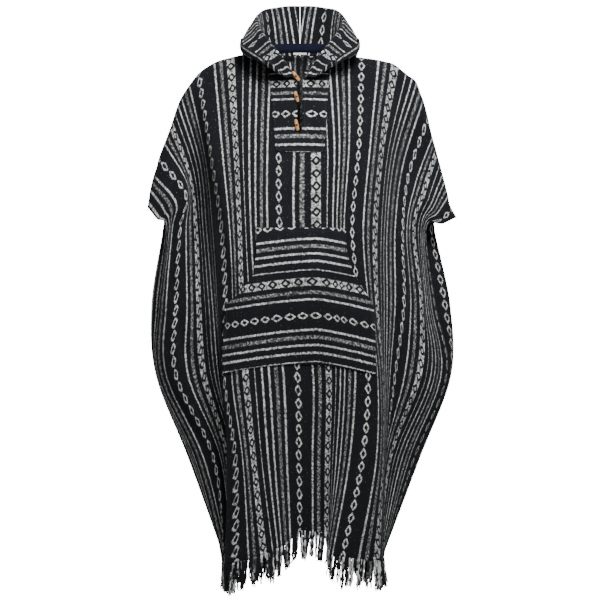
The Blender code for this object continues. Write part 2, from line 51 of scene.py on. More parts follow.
SLIT_STATION = 0.86
CREST_ROUND = 0.012
CREST_QUICK = 0.05
JOINED_FROM = 2.6
SEAM_REACH = 0.018
SLOPE_STEP = 0.002
BIB_LIFT = 0.001
PROBES = 200
POCKET_PUFF = 0.014
POCKET_GAPE = 0.6
POCKET_HIGH = 0.6
POCKET_ARCH = 0.14
TOGGLE_WIDE = 0.0085
LOOP_THICK = 0.0018
LOOP_BESIDE = 0.0125
LOOP_HALF_WIDE = 0.006
LOOP_HALF_HIGH = 0.0035
HOOD_TURNS = 16
HOOD_STEPS = 3
TAPE_FROM = 9
TAPE_LOW = 0.3
TAPE_HIGH = 0.85
TAPE_THICK = 0.0009
LABEL_FROM = 15
LABEL_LOW = 0.1
LABEL_APART = 0.012
LABEL_THICK = 0.0008

# Heights of the stations between the top line and the hem, in chart units below the neck
POCKET_DROP, WAIST_DROP, THIGH_DROP, KNEE_DROP = 175.0, 250.0, 320.0, 405.0

# Columns of both panel charts: across is mm along the cloth, x and drop are chart units,
# out is mm away from the wearer's middle plane
PANEL_COLUMNS = (
    "across", "top_x", "top_drop", "chest_x", "chest_out", "pocket_x", "pocket_out",
    "waist_x", "waist_out", "thigh_x", "thigh_out", "knee_x", "knee_out",
    "hem_x", "hem_out", "hem_drop",
)
FRONT_CHART = (
    (-507, -153, 152, -144, 32, -134, 32, -142, 0, -143, -5, -108, -10, -74, 0, 505),
    (-485, -150, 135, -136, 40, -131, 40, -141, 24, -142, 20, -105, 18, -77, 16, 507),
    (-454, -146, 121, -124, 48, -128, 41, -134, 44, -134, 42, -96, 38, -71, 28, 508),
    (-425, -142, 104, -114, 44, -120, 49, -124, 58, -124, 56, -86, 54, -76, 42, 508),
    (-391, -136, 88, -112, 22, -114, 30, -113, 46, -112, 48, -79, 50, -69, 52, 509),
    (-354, -129, 70, -110, 14, -104, 16, -101, 52, -96, 64, -73, 66, -76, 64, 510),
    (-311, -122, 50, -103, 17, -97, 30, -91, 84, -85, 86, -66, 82, -68, 76, 511),
    (-279, -115, 36, -97, 42, -90, 66, -84, 106, -79, 100, -72, 98, -72, 92, 511),
    (-250, -107, 24, -93, 76, -84, 112, -80, 126, -79, 128, -71, 122, -74, 112, 511),
    (-235, -102, 18, -90, 90, -78, 128, -74, 138, -76, 142, -64, 138, -64, 130, 508),
    (-201, -86, 7, -78, 104, -70, 144, -67, 152, -68, 154, -57, 150, -51, 146, 504),
    (-164, -70, 2, -64, 112, -60, 152, -58, 160, -54, 158, -46, 152, -36, 150, 500),
    (-139, -57, -1, -57, 118, -54, 156, -50, 162, -45, 154, -38, 146, -27, 142, 496),
    (-89, -36, 2, -38, 124, -38, 158, -32, 160, -23.5, 146, -19, 134, -14, 124, 489),
    (-45, -17, 6, -21, 128, -20, 160, -12, 158, -2.5, 136, -1, 118, 0, 106, 477),
    (0, 0, 7, 0, 128, 0, 158, 9, 154, 18, 134, 17, 116, 17, 102, 478),
    (26, 12, 7, 16, 126, 17, 156, 22, 154, 29, 138, 28, 124, 27, 114, 478),
    (60, 25, 5, 31, 122, 30, 153, 34, 152, 38, 149, 34, 136, 29, 126, 481),
    (90, 38, 0, 41, 120, 38, 151, 42, 152, 46, 153, 41, 142, 28, 139, 492),
    (116, 49, 1, 49, 120, 44, 152, 50, 156, 55, 160, 49, 150, 32, 150, 500),
    (145, 62, 2, 59, 120, 52, 156, 60, 162, 68, 164, 62, 160, 42, 158, 502),
    (194, 86, 6, 75, 110, 68, 148, 72, 154, 80, 150, 80, 152, 66, 148, 505),
    (216, 95, 9, 82, 100, 75, 136, 77, 142, 83, 130, 83, 132, 77, 132, 506),
    (240, 106, 18, 88, 84, 81, 118, 81, 124, 83, 108, 84, 108, 82, 112, 507),
    (275, 117, 27, 95, 50, 87, 90, 87, 98, 86, 87, 84, 88, 79, 96, 507),
    (306, 123, 46, 103, 20, 95, 70, 95, 82, 90, 78, 85, 72, 80, 82, 506),
    (335, 128, 64, 109, 14, 103, 72, 104, 84, 95, 78, 86, 60, 84, 68, 506),
    (370, 133, 82, 116, 20, 107, 58, 111, 72, 105, 74, 85, 50, 83, 54, 505),
    (406, 136, 98, 124, 34, 114, 48, 122, 62, 119, 66, 90, 46, 81, 42, 505),
    (449, 143, 119, 132, 40, 121, 42, 126, 42, 131, 48, 98, 40, 80, 30, 504),
    (490, 148, 138, 137, 36, 124, 38, 131, 26, 140, 28, 108, 24, 82, 18, 503),
    (525, 152, 155, 141, 32, 126, 36, 135, 10, 147, 8, 114, 4, 83, 6, 502),
    (545, 157, 162, 144, 28, 127, 32, 137, 0, 149, -6, 117, -8, 82, -4, 502),
)
BACK_CHART = (
    (-507, -153, 152, -144, 26, -134, 30, -142, 0, -143, 5, -108, 10, -74, 0, 505),
    (-480, -150, 133, -138, 34, -138, 38, -149, 16, -145, 22, -112, 26, -75, 14, 507),
    (-430, -142, 106, -128, 42, -128, 52, -140, 54, -134, 58, -104, 54, -76, 32, 508),
    (-360, -130, 72, -118, 44, -114, 66, -122, 90, -116, 88, -94, 80, -78, 60, 510),
    (-290, -118, 40, -104, 46, -98, 82, -101, 106, -96, 112, -78, 102, -66, 82, 510),
    (-220, -96, 15, -86, 88, -80, 106, -80, 124, -76, 128, -66, 112, -62, 108, 508),
    (-150, -62, 0, -60, 108, -58, 122, -56, 130, -55, 126, -46, 128, -45, 124, 500),
    (-80, -36, 0, -34, 114, -32, 128, -30, 134, -30, 140, -26, 126, -24, 114, 488),
    (0, 0, 0, 0, 112, 0, 124, 0, 128, 0, 130, 0, 134, 0, 132, 468),
    (80, 34, 0, 34, 116, 32, 130, 32, 136, 30, 138, 27, 126, 24, 116, 467),
    (150, 62, 2, 60, 108, 57, 122, 58, 130, 57, 128, 48, 130, 46, 122, 488),
    (220, 98, 12, 86, 88, 80, 106, 82, 124, 80, 126, 68, 114, 64, 106, 502),
    (290, 120, 36, 104, 50, 98, 84, 102, 108, 100, 110, 82, 100, 70, 84, 507),
    (370, 133, 82, 118, 46, 118, 72, 124, 88, 120, 86, 98, 76, 84, 58, 506),
    (440, 142, 115, 130, 42, 131, 52, 141, 54, 138, 58, 110, 50, 82, 40, 504),
    (515, 151, 151, 141, 34, 134, 38, 149, 18, 152, 20, 120, 20, 83, 16, 503),
    (545, 157, 162, 144, 26, 127, 30, 137, 0, 149, 6, 117, 8, 82, 4, 502),
)
# Soft pleats laid over the charts: from and to across (mm), count, first station, depth (mm)
FRONT_PLEATS = ((-225, -45, 2, 3.6, 4),)
BACK_PLEATS = ((-340, 340, 5, 2.2, 17),)
# The bib's and pocket's edges on the front panel: station, left and right across in mm
BIB_EDGES = ((0.1, -78, 70), (0.5, -66, 56), (1.08, -52, 42))
POCKET_EDGES = (
    (1.98, -104, 124), (2.3, -108, 128), (2.6, -124, 142),
    (2.85, -168, 168), (3.02, -226, 188), (3.3, -230, 184), (4.0, -234, 166),
)
# The hood's right half, a row for each direction round the neck, all in mm: x, y, z of the
# seam, of the standing crest, of the outer fall, of the low bend and of the rim
HOOD_CHART = (
    (7, -102, -54, 14, -112, -50, 22, -112, -48, 32, -116, -46, 38, -121, -40),
    (34, -94, -14, 48, -104, 8, 66, -98, -4, 86, -104, -16, 84, -118, -4),
    (61, -49, -2, 76, -62, 42, 98, -56, 26, 124, -62, 10, 120, -82, 20),
    (84, -3, 4, 91, -10, 74, 109, -8, 60, 121, -8, 42, 125, -26, 34),
    (67, 37, 1, 76, 42, 96, 96, 56, 68, 112, 68, 28, 123, 80, 0),
    (38, 57.5, 1, 46, 68, 106, 60, 98, 62, 72, 122, -20, 78, 134, -76),
    (0, 66.5, 1, 0, 76, 108, 0, 112, 60, 0, 142, -60, 0, 156, -150),
)
# Each toggle's middle x and z, how far its ends lean and reach, and its lift, in mm
TOGGLE_ROWS = (
    (-8.6, -47, 7.7, 10.3, 6.9),
    (-7.5, -91, 3.2, 11.8, -1.2),
    (-7.0, -152, 2.7, 12.5, -1.4),
)


def blend(t, here, after, leave, arrive):
    """From here to after as t goes from 0 to 1, with the slopes given at both ends."""
    turn = (2 * t**3 - 3 * t**2 + 1) * here + (3 * t**2 - 2 * t**3) * after
    return turn + (t**3 - 2 * t**2 + t) * leave + (t**3 - t**2) * arrive


def slopes(spots, values):
    """Slopes of a smooth curve through the values, level where they turn."""
    steps = np.diff(spots)
    rise = np.diff(values) / steps
    slope = np.empty(len(values))
    slope[0], slope[-1] = rise[0], rise[-1]
    slope[1:-1] = (rise[:-1] * steps[1:] + rise[1:] * steps[:-1]) / (steps[1:] + steps[:-1])
    return slope


def smooth(spots, values, at):
    """The smooth curve through values at the spots, read at the places asked for."""
    spots = np.asarray(spots, float)
    values = np.asarray(values, float)
    at = np.clip(np.asarray(at, float), spots[0], spots[-1])
    slope = slopes(spots, values)
    cell = np.clip(np.searchsorted(spots, at, side="right") - 1, 0, len(spots) - 2)
    wide = spots[cell + 1] - spots[cell]
    leave, arrive = wide * slope[cell], wide * slope[cell + 1]
    return blend((at - spots[cell]) / wide, values[cell], values[cell + 1], leave, arrive)


def column(chart, name):
    return np.array([row[PANEL_COLUMNS.index(name)] for row in chart], float)


def pleats(table, across, station):
    """How far the soft pleats lift the cloth, in metres."""
    lift = np.zeros(np.broadcast(across, station).shape)
    for start_at, end_at, count, start, depth in table:
        t = np.clip((across / MM - start_at) / (end_at - start_at), 0, 1)
        grow = np.clip((station - start) / (6 - start), 0, 1) ** 0.7
        lift = lift + grow * depth * MM * np.sin(math.pi * t) * np.sin(2 * math.pi * count * t)
    return lift


def panel(chart, table, neck_out, side, across, station):
    """Points of a panel's outer face, for arrays of across (m) and station (0 top to 6 hem)."""
    across, station = np.broadcast_arrays(np.asarray(across, float), np.asarray(station, float))
    spots = column(chart, "across") * MM

    def read(name):
        return smooth(spots, column(chart, name), across)

    neck = np.clip(1 - (across / NECK_HALF) ** 2, 0, 1) ** NECK_POWER * neck_out
    top_drop = read("top_drop")
    levels = ("pocket", "waist", "thigh", "knee")
    xs = np.stack([read(k + "_x") for k in ("top", "chest") + levels + ("hem",)]) * UNIT
    outs = np.stack([neck] + [read(k + "_out") * MM for k in ("chest",) + levels + ("hem",)])
    fixed = [np.full(across.shape, d) for d in (POCKET_DROP, WAIST_DROP, THIGH_DROP, KNEE_DROP)]
    drops = np.stack([top_drop, (top_drop + POCKET_DROP) / 2] + fixed + [read("hem_drop")])
    low = np.clip(station.astype(int), 0, 5)
    t = station - low

    def along(stack):
        def at(k):
            return np.take_along_axis(stack, np.clip(k, 0, 6)[None], 0)[0]
        before, here, after, beyond = at(low - 1), at(low), at(low + 1), at(low + 2)
        leave = np.where(low == 0, after - here, (after - before) / 2)
        arrive = np.where(low == 5, after - here, (beyond - here) / 2)
        return blend(t, here, after, leave, arrive)

    out = along(outs)
    near_top = np.clip(station, 0, 1)
    out = out + CREST_ROUND * (1 - np.exp(-near_top / CREST_QUICK)) * (1 - near_top) ** 2
    out = out + pleats(table, across, station)
    return np.stack([along(xs), side * out, -along(drops) * UNIT], -1)


def front(across, station):
    return panel(FRONT_CHART, FRONT_PLEATS, NECK_FRONT, -1, across, station)


def back(across, station):
    return panel(BACK_CHART, BACK_PLEATS, NECK_BACK, 1, across, station)


def grid_normals(points):
    """Unit normals of a grid of points, pointing to the right of along cross across."""
    across = np.gradient(points, axis=0)
    along = np.gradient(points, axis=1)
    normal = np.cross(across, along)
    return normal / np.maximum(np.linalg.norm(normal, axis=-1, keepdims=True), 1e-9)


def grid_quads(columns, rows, first=0):
    quads = []
    for i in range(columns - 1):
        for j in range(rows - 1):
            a = first + i * rows + j
            quads.append((a, a + 1, a + rows + 1, a + rows))
    return quads


def seam_line(edge, rows):
    """The side seam at one edge: its middle line, the way along the ring, and the way out."""
    step = -math.copysign(SEAM_REACH, edge)
    middle = (front(edge, rows) + back(edge, rows)) / 2
    way = back(edge + step, rows) - front(edge + step, rows)
    way[:, 2] = 0
    way /= np.linalg.norm(way, axis=-1, keepdims=True)
    out = np.stack([way[:, 1], -way[:, 0], np.zeros(len(rows))], -1)
    return middle, way, out * np.sign(out[:, :1] * edge)


def hood_points(turn, profile):
    """Points of the hood's right half: turn 0 front to 1 back, profile 0 seam to 4 rim."""
    chart = np.array(HOOD_CHART, float).reshape(len(HOOD_CHART), 5, 3) * MM
    spots = np.linspace(0, 1, len(HOOD_CHART))
    turn, profile = np.broadcast_arrays(turn, profile)
    stack = np.stack([
        np.stack([smooth(spots, chart[:, k, axis], turn) for axis in range(3)], -1)
        for k in range(5)
    ])
    low = np.clip(profile.astype(int), 0, 3)
    t = (profile - low)[..., None]

    def at(k):
        return np.take_along_axis(stack, np.clip(k, 0, 4)[None, ..., None], 0)[0]

    before, here, after, beyond = at(low - 1), at(low), at(low + 1), at(low + 2)
    return blend(t, here, after, (after - before) / 2, (beyond - here) / 2)


def bib_face(x, z, half_wide=0.001, half_high=0.001):
    """How far forward the bib's outer face comes round a place near the slit."""
    rows = np.linspace(0, BIB_EDGES[-1][0], PROBES)
    foremost = []
    for side_x in (x - half_wide, x + half_wide):
        points = front(np.full(PROBES, side_x), rows)
        heights = (z - half_high, z, z + half_high)
        foremost += [np.interp(-h, -points[:, 2], points[:, 1]) for h in heights]
    return float(min(foremost)) - CLOTH - BIB_LIFT


# Sizes of the cloth's repeat, in mm from a chain's middle: stripe middles and widths
REPEAT = 190.0
CHAIN_AT = -45.0
PITCH = 28.0
WHITE_STRIPES = ((34, 4.2), (96, 2.2), (114, 4.6), (130, 4.4), (161, 4.6))
GREY_STRIPES = ((49, 7.5), (146, 8.0))
BAND_AT, BAND_WIDE = 71.0, 17.0

# Listed creases: from across (mm) and station, to across and station, width and depth
# in mm, ridges positive and troughs negative
FRONT_CREASES = (
    (-228, 0.15, -212, 2.3, 16, 5.0),
    (-262, 0.3, -246, 2.1, 14, -4.5),
    (-186, 0.1, -176, 1.6, 12, -3.5),
    (186, 0.1, 190, 2.2, 14, 4.5),
    (168, 0.2, 172, 1.5, 11, -3.0),
    (222, 0.3, 228, 2.4, 14, -4.0),
    (-128, 1.2, -118, 2.0, 15, -2.6),
    (92, 1.3, 104, 2.0, 14, -2.4),
    (-96, 4.05, -104, 5.6, 12, 3.4),
    (-64, 4.1, -70, 5.9, 9, -3.6),
    (-30, 4.0, -24, 6.0, 10, 3.2),
    (2, 4.0, 6, 6.0, 13, -6.5),
    (40, 4.1, 38, 6.0, 10, 3.6),
    (70, 4.0, 74, 5.8, 8, -4.6),
    (104, 4.1, 98, 5.4, 9, 3.4),
    (168, 4.1, 186, 6.0, 14, -3.2),
    (-178, 4.1, -184, 6.0, 14, -3.0),
    (-152, 4.3, -150, 6.0, 10, 2.6),
    (-210, 2.6, -222, 4.6, 12, -3.6),
    (206, 2.6, 214, 4.8, 12, -3.6),
    (-420, 0.9, -352, 3.1, 18, 5.5),
    (-470, 1.6, -398, 3.8, 14, -5.0),
    (-372, 2.0, -318, 4.6, 16, -4.5),
    (-440, 3.0, -350, 5.4, 16, 5.0),
    (-480, 3.4, -420, 5.8, 14, -4.0),
    (-300, 2.8, -276, 5.6, 12, 4.0),
    (430, 0.9, 352, 3.0, 18, 5.0),
    (486, 1.7, 402, 3.7, 14, -4.5),
    (392, 2.1, 330, 4.4, 16, -4.5),
    (452, 3.0, 372, 5.2, 16, 5.0),
    (506, 3.4, 440, 5.8, 14, -4.0),
    (300, 2.9, 280, 5.4, 12, 4.0),
    (-60, 0.7, -92, 1.9, 12, 2.0),
    (58, 0.7, 84, 1.9, 12, 2.0),
)
BACK_CREASES = (
    (-60, 0.4, -110, 2.6, 20, 4.0),
    (70, 0.4, 120, 2.8, 20, 4.0),
    (0, 0.8, -8, 3.4, 22, -4.5),
    (-200, 0.2, -236, 2.4, 18, -5.0),
    (205, 0.2, 240, 2.2, 18, -5.0),
    (-150, 2.4, -160, 5.8, 16, 4.5),
    (40, 3.0, 52, 6.0, 14, -4.0),
    (160, 2.6, 170, 5.6, 16, 4.5),
    (-420, 0.9, -330, 3.2, 18, 5.0),
    (-300, 3.0, -270, 5.6, 14, -4.5),
    (-460, 2.2, -400, 4.8, 16, -4.5),
    (430, 0.9, 336, 3.2, 18, 5.0),
    (310, 3.0, 280, 5.6, 14, -4.5),
    (470, 2.2, 410, 4.8, 16, -4.5),
    (-90, 4.2, -96, 6.0, 10, 3.5),
    (100, 4.0, 92, 6.0, 10, 3.5),
)
CREASE_STEP = 0.155
CREASE_BEND, CREASE_BENDS, CREASE_ENDS = 0.004, 7, 0.3
WING_AT, WING_BLEND, WING_GAIN = 0.15, 0.05, 0.6
RIPPLE_HIGH = 0.0009
BACK_SHIFT = 0.37
CALM_STATIONS = 0.4
EDGE_CALM = 0.04

# The fine grids, as columns and rows, and how they lie
FRONT_GRID, BACK_GRID, HOOD_GRID = (241, 150), (221, 130), (73, 90)
POCKET_GRID, BIB_GRID = (131, 90), (30, 70)
PANEL_LEFT, PANEL_RIGHT = -0.507, 0.545
TOP_ROWS, EVEN_FROM = (0, 0.02, 0.05, 0.09), 0.11
SEAM_BLEND = 0.02
SLIT_DEPTHS = (0.0, 0.02, 0.056, 0.14, 0.16, 0.17)
SLIT_OPENS = (0.017, 0.015, 0.0062, 0.006, 0.0045, 0.0)
SLIT_FADE = 0.05
HAIR = 1e-6
PATCH_THICK = 0.8 * CLOTH
POCKET_SEAT, BIB_SEAT = 0.0008, 0.0007
TAPE_SEAT, TAPE_STEPS = 0.0005, 40

# Where the stripes lie on the sewn pieces, in metres
POCKET_CHAIN = -0.5597
POCKET_CREST = 0.035
POCKET_SCALES = (0.98, 0.95)
LEFT_DROOP, LEFT_SPAN, LEFT_POWER = 0.0212, 0.186, 1.5
RIGHT_DROOP, RIGHT_SPAN, RIGHT_POWER = 0.023, 0.116, 1.3
BIB_CHAIN = 0.1265
BIB_SCALES = (1.1, 0.9)
BIB_DROOP = 0.03
BIB_RIGHT_SHIFT = 0.017
# From the middle of the hood's back round to the front, for each half: run and place
HOOD_PLACES = {
    -1: ((0, 0.065, 0.209, 0.36), (0.104, 0.168, 0.380, 0.545)),
    1: ((0, 0.060, 0.209, 0.36), (0.137, 0.200, 0.380, 0.545)),
}
HOOD_SLANT, SLANT_REACH = 0.22, 0.06
HOOD_WAVE, WAVE_REACH = 0.0016, 0.15
BAND_FROM, BAND_BLEND = 3.05, 0.1
BAND_START, BAND_TO = 0.13, 0.62
RIM_STRIPE = 0.091

# The hem's yarns: ranges for the random draws, in metres or as shares
FRINGE_LONG = 0.068
CLUMP_WIDE = 0.0085
PALE_YARNS = 0.12
YARN_RINGS, YARN_SIDES = 11, 5
YARN_INSET, YARN_ROOT = 0.004, 0.003
CLUMP_REACH, YARN_REACH = (0.8, 1.0), (0.86, 1.04)
YARN_PULL = (0.2, 0.85)
CLUMP_LEAN, YARN_LEAN = 0.007, 0.003
YARN_WAVE, YARN_TURNS = (0.0006, 0.0022), (17, 14)
YARN_RADIUS, YARN_TAPER = (0.0018, 0.0030), 0.5
TWIST_DEEP, TWIST_TURNS = 0.16, 40

# Stitches, toggles and cords, in metres
STITCH_PITCH, STITCH_START, STITCH_END = 0.0042, 0.001, 0.004
STITCH_SPOTS, STITCH_RADII = (0, 0.0014, 0.0028), (0.0002, 0.00045, 0.0002)
THREAD_OFF = (0, -0.0002, 0)
TOGGLE_GRID = (25, 24)
TOGGLE_ROUND, TOGGLE_TIP = 0.22, 0.0006
NOTCH_DEEP, NOTCH_WIDE = 0.12, 0.05
CORD_RADIUS, CORD_TWIST, CORD_TURN = 0.00085, 0.12, 2.4
HOLE_CORD = ((-0.0016, 0.4, 0.0008), (0, 0.5, 0), (0.0016, 0.4, -0.001))
HOLE_RADII = (0.0014, 0.0021, 0.0014)

# Shades, darker and paler, and the distance between two picks of the weft in mm
DARK_YARN = ((0.0028, 0.0034, 0.0045, 1), (0.006, 0.0068, 0.0085, 1))
PALE_YARN = (0.42, 0.78)
# Share of the pale yarns' brightness on the panels' inside faces: painted shade on the inside of
# the cloth
INSIDE_SHADE_SHARE = 0.3
PICK_PITCH = 1.6
NAVY_TAPE = ((0.003, 0.004, 0.011, 1), (0.009, 0.011, 0.027, 1))
LABEL_CLOTH = ((0.6, 0.6, 0.58, 1), (0.86, 0.86, 0.84, 1))
BLACK_CORD = ((0.008, 0.008, 0.009, 1), (0.03, 0.03, 0.034, 1))
DARK_THREAD = ((0.012, 0.013, 0.016, 1), (0.05, 0.052, 0.06, 1))
TAN_WOOD = ((0.4, 0.18, 0.06, 1), (0.56, 0.29, 0.11, 1))
WOOD_STREAK = (0.2, 0.08, 0.025, 1)
PALE_PAPER = ((0.92, 0.92, 0.92, 1), (0.94, 0.94, 0.94, 1))

# Stage, light and camera: metres and watts
FLOOR, FLOOR_RADIUS = -1.5, 7.5
WORLD_LIGHT, WORLD_SEEN = 0.13, 16.0
VIEW_WIDE, VIEW_MIDDLE = 1.29, -0.527
CAMERA_AWAY, FRONT_OUT = 20.0, 0.06
LIGHTS = (
    ("key", (0.25, -1.35, 0.72), (0, 0, -0.45), (0.5, 0.5), 54),
    ("fill", (0.5, -5.0, 0.6), (0, 0, -0.5), (1.2, 1.2), 30),
    ("top", (0.1, -1.3, 2.4), (0, 0, -0.3), (1.2, 0.8), 20),
)


def crease_lift(table, across, station):
    """How far the listed creases lift the cloth, in metres."""
    across, station = np.broadcast_arrays(across, station)
    lift = np.zeros(across.shape)
    down = station * CREASE_STEP
    for a0, s0, a1, s1, width, depth in table:
        start = np.array([a0 * MM, s0 * CREASE_STEP])
        way = np.array([a1 * MM, s1 * CREASE_STEP]) - start
        long = float(np.dot(way, way))
        t = ((across - start[0]) * way[0] + (down - start[1]) * way[1]) / long
        bend = CREASE_BEND * np.sin(t * CREASE_BENDS + a0)
        off = across - start[0] - way[0] * t - bend
        fade = np.clip(np.minimum(t, 1 - t) / CREASE_ENDS + 0.5, 0, 1)
        fade = fade * fade * (3 - 2 * fade)
        lift += depth * MM * fade * np.exp(-((off / (width * MM)) ** 2))
    return lift * (1 + WING_GAIN * np.clip((np.abs(across) - WING_AT) / WING_BLEND, 0, 1))


def ripple(across, station):
    """Small uneven waves that cloth of this weight keeps. The lengths in it are in mm."""
    x, z = across * 1000, station * 160
    wave = np.sin(x / 31 + 1.3 * np.sin(z / 170 + 0.7)) * np.sin(z / 240 + x / 400)
    wave = wave + 0.6 * np.sin(x / 17 + z / 95 + 2.1) * np.sin(z / 130 - x / 260 + 1.0)
    return RIPPLE_HIGH * wave


def add_creases(points, side, table, across, station, shift=0.0):
    """Creases and ripples, calm at the shoulder and where the two panels meet."""
    lift = crease_lift(table, across, station) + ripple(across + shift, station)
    near = np.clip(np.broadcast_to(station, lift.shape) / CALM_STATIONS, 0, 1)
    edge = np.clip(np.minimum(across - PANEL_LEFT, PANEL_RIGHT - across) / EDGE_CALM, 0, 1)
    points[..., 1] += side * lift * near * edge
    return points


def fine_front(across, station):
    return add_creases(front(across, station), -1, FRONT_CREASES, across, station)


def fine_back(across, station):
    return add_creases(back(across, station), 1, BACK_CREASES, across, station, BACK_SHIFT)


def put_in_scene(name, data):
    thing = bpy.data.objects.new(name, data)
    bpy.context.scene.collection.objects.link(thing)
    return thing


def link(name, verts, faces, uv=None):
    """A mesh object from arrays, with its cloth places as a UV map in metres."""
    mesh = bpy.data.meshes.new(name)
    mesh.from_pydata(np.asarray(verts).tolist(), [], [tuple(f) for f in faces])
    if uv is not None:
        layer = mesh.uv_layers.new(name="cloth")
        spots = np.empty(len(mesh.loops), int)
        mesh.loops.foreach_get("vertex_index", spots)
        layer.data.foreach_set("uv", np.asarray(uv, np.float32)[spots].ravel())
    mesh.shade_smooth()
    mesh.update()
    return put_in_scene(name, mesh)


def finish_piece(thing, paint, node=None):
    """Paints a piece, puts it on the body and hides the solid that it replaces."""
    thing.data.materials.append(paint)
    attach(thing, "root")
    if node is not None:
        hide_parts(node)
    return thing


def shell(name, node, sheets, quads, uv, paint, shaded_inside=None):
    """A thin closed sheet of cloth between an outer and an inner sheet of points."""
    outer, inner = [sheet.reshape(-1, 3) for sheet in sheets]
    uv = uv.reshape(-1, 2)
    count = len(outer)
    verts = np.concatenate([outer, inner])
    quads = np.asarray(quads)
    flat = verts[quads]
    normal = np.cross(flat[:, 1] - flat[:, 0], flat[:, 3] - flat[:, 0])
    thick = (outer - inner)[quads[:, 0]]
    if float(np.sum(normal * thick)) < 0:
        quads = quads[:, ::-1]
    quads = quads.tolist()
    faces = quads + [[count + v for v in reversed(q)] for q in quads]
    sides = {}
    for q in quads:
        for a, b in zip(q, q[1:] + q[:1]):
            if sides.pop((b, a), None) is None:
                sides[(a, b)] = True
    faces += [(b, a, count + a, count + b) for a, b in sides]
    thing = link(name, verts, faces, np.concatenate([uv, uv]))
    finish_piece(thing, paint, node)
    # The inner faces may take a second paint: for the panels, a darker copy of the cloth as painted
    # shade
    if shaded_inside is not None:
        thing.data.materials.append(shaded_inside)
        side = np.zeros(len(faces), int)
        side[len(quads):2 * len(quads)] = 1
        thing.data.polygons.foreach_set("material_index", side)
    return thing


def length_along(points):
    """Length from the first point to each point of a line."""
    return np.concatenate([[0], np.cumsum(np.linalg.norm(np.diff(points, axis=0), axis=1))])


def run_along(points):
    """Length along each column of a grid, from its first point."""
    return np.array([length_along(column_points) for column_points in points])


def panel_spots(count):
    """Even places across a panel, one of them right on the middle line."""
    spots = np.linspace(PANEL_LEFT, PANEL_RIGHT, count)
    spots[int(np.argmin(np.abs(spots)))] = 0.0
    return spots


def fine_sheets(surface, side, columns, rows):
    """A panel's fine outer and inner grids and its cloth places."""
    across = panel_spots(columns)
    even = np.linspace(0, 6, rows)
    down = np.concatenate([TOP_ROWS, even[even > EVEN_FROM]])
    points = surface(across[:, None], down[None, :])
    shoulder = np.abs(across) >= NECK_HALF
    points[shoulder, 0, 1] = side * GAP / 2
    joined = np.clip((down - 2) / (JOINED_FROM - 2), 0, 1)[:, None]
    normal = grid_normals(points)
    normal *= np.sign(np.sum(normal[:, :, 1] * side))
    for edge in (0, -1):
        middle, way, out = seam_line(across[edge], down)
        shift = (middle - points[edge]) * joined
        shift[1:] += side * way[1:] * SIDE_GAP / 2
        near = np.clip(1 - np.abs(across - across[edge]) / SEAM_BLEND, 0, 1)
        points += shift[None] * near[:, None, None]
        lean = normal[edge] * (1 - joined) + out * joined
        normal[edge] = lean / np.linalg.norm(lean, axis=-1, keepdims=True)
    inner = points - normal * CLOTH
    inner[shoulder, 0] = points[shoulder, 0] - np.array([0, 0, CLOTH])
    uv = np.stack([np.broadcast_to(across[:, None], points.shape[:2]), run_along(points)], -1)
    return across, down, points, inner, uv


def part_slit(sheet, across, depth):
    """Draws the cloth aside from the slit, widest at the neck."""
    open_by = np.interp(depth, SLIT_DEPTHS, SLIT_OPENS)
    side = np.where(across >= 0, 1.0, -1.0)
    return sheet[..., 0] + side * open_by * np.clip(1 - np.abs(across) / SLIT_FADE, 0, 1)


def make_front(paint, shaded_inside):
    across, down, points, inner, uv = fine_sheets(fine_front, -1, *FRONT_GRID)
    rows = len(down)
    middle = int(np.argmin(np.abs(across)))
    quads = np.array(grid_quads(len(across), rows))
    outer, inside, places = points.reshape(-1, 3), inner.reshape(-1, 3), uv.reshape(-1, 2)
    slit = np.array([middle * rows + j for j, s in enumerate(down) if s < SLIT_STATION])
    copies = {int(old): len(outer) + n for n, old in enumerate(slit)}
    outer, inside = [np.concatenate([sheet, sheet[slit]]) for sheet in (outer, inside)]
    places = np.concatenate([places, places[slit]])
    from_middle = places[:, 0] + 0.0
    from_middle[slit] = -HAIR
    for sheet in (outer, inside):
        sheet[:, 0] = part_slit(sheet, from_middle, -outer[:, 2])
    first_right = middle * (rows - 1)
    quads = [
        [copies.get(v, v) for v in q] if n >= first_right else q
        for n, q in enumerate(quads.tolist())
    ]
    thing = shell("front_cloth", "front", (outer, inside), quads, places, paint, shaded_inside=shaded_inside)
    return thing, (across, points, inner, uv)


def make_back(paint, shaded_inside):
    across, down, points, inner, uv = fine_sheets(fine_back, 1, *BACK_GRID)
    quads = grid_quads(len(across), len(down))
    thing = shell("back_cloth", "back", (points, inner), quads, uv, paint, shaded_inside=shaded_inside)
    return thing, (across, points, inner, uv)


def fine_patch(edges, count_across, count_along, lift, puff=0.0, arch=0.0, half=None):
    """Points of a piece laid on the fine front: its under face and its outer face."""
    table = np.array(edges, float)
    rows = np.linspace(table[0, 0], table[-1, 0], count_along)
    left = np.interp(rows, table[:, 0], table[:, 1]) * MM
    right = np.interp(rows, table[:, 0], table[:, 2]) * MM
    u = np.linspace(0, 1, count_across)[:, None]
    left = left * (half != "right")
    right = right * (half != "left")
    across = left + (right - left) * u
    down = np.linspace(0, 1, count_along)
    rows = rows - arch * (1 - (2 * u - 1) ** 2) * down
    points = fine_front(across, rows)
    step = 2 * SLOPE_STEP
    d_across = front(across + step, rows) - front(across - step, rows)
    d_along = front(across, rows + step) - front(across, rows - step)
    normal = np.cross(d_along, d_across)
    normal /= np.linalg.norm(normal, axis=-1, keepdims=True)
    normal *= -np.sign(np.sum(normal[:, :, 1]))
    gape = POCKET_GAPE + (1 - POCKET_GAPE) * np.sin(math.pi * u)
    swell = puff * gape * np.sin(math.pi * down**POCKET_HIGH)
    under = points + normal * (lift + swell[:, :, None])
    return under, under + normal * PATCH_THICK, across


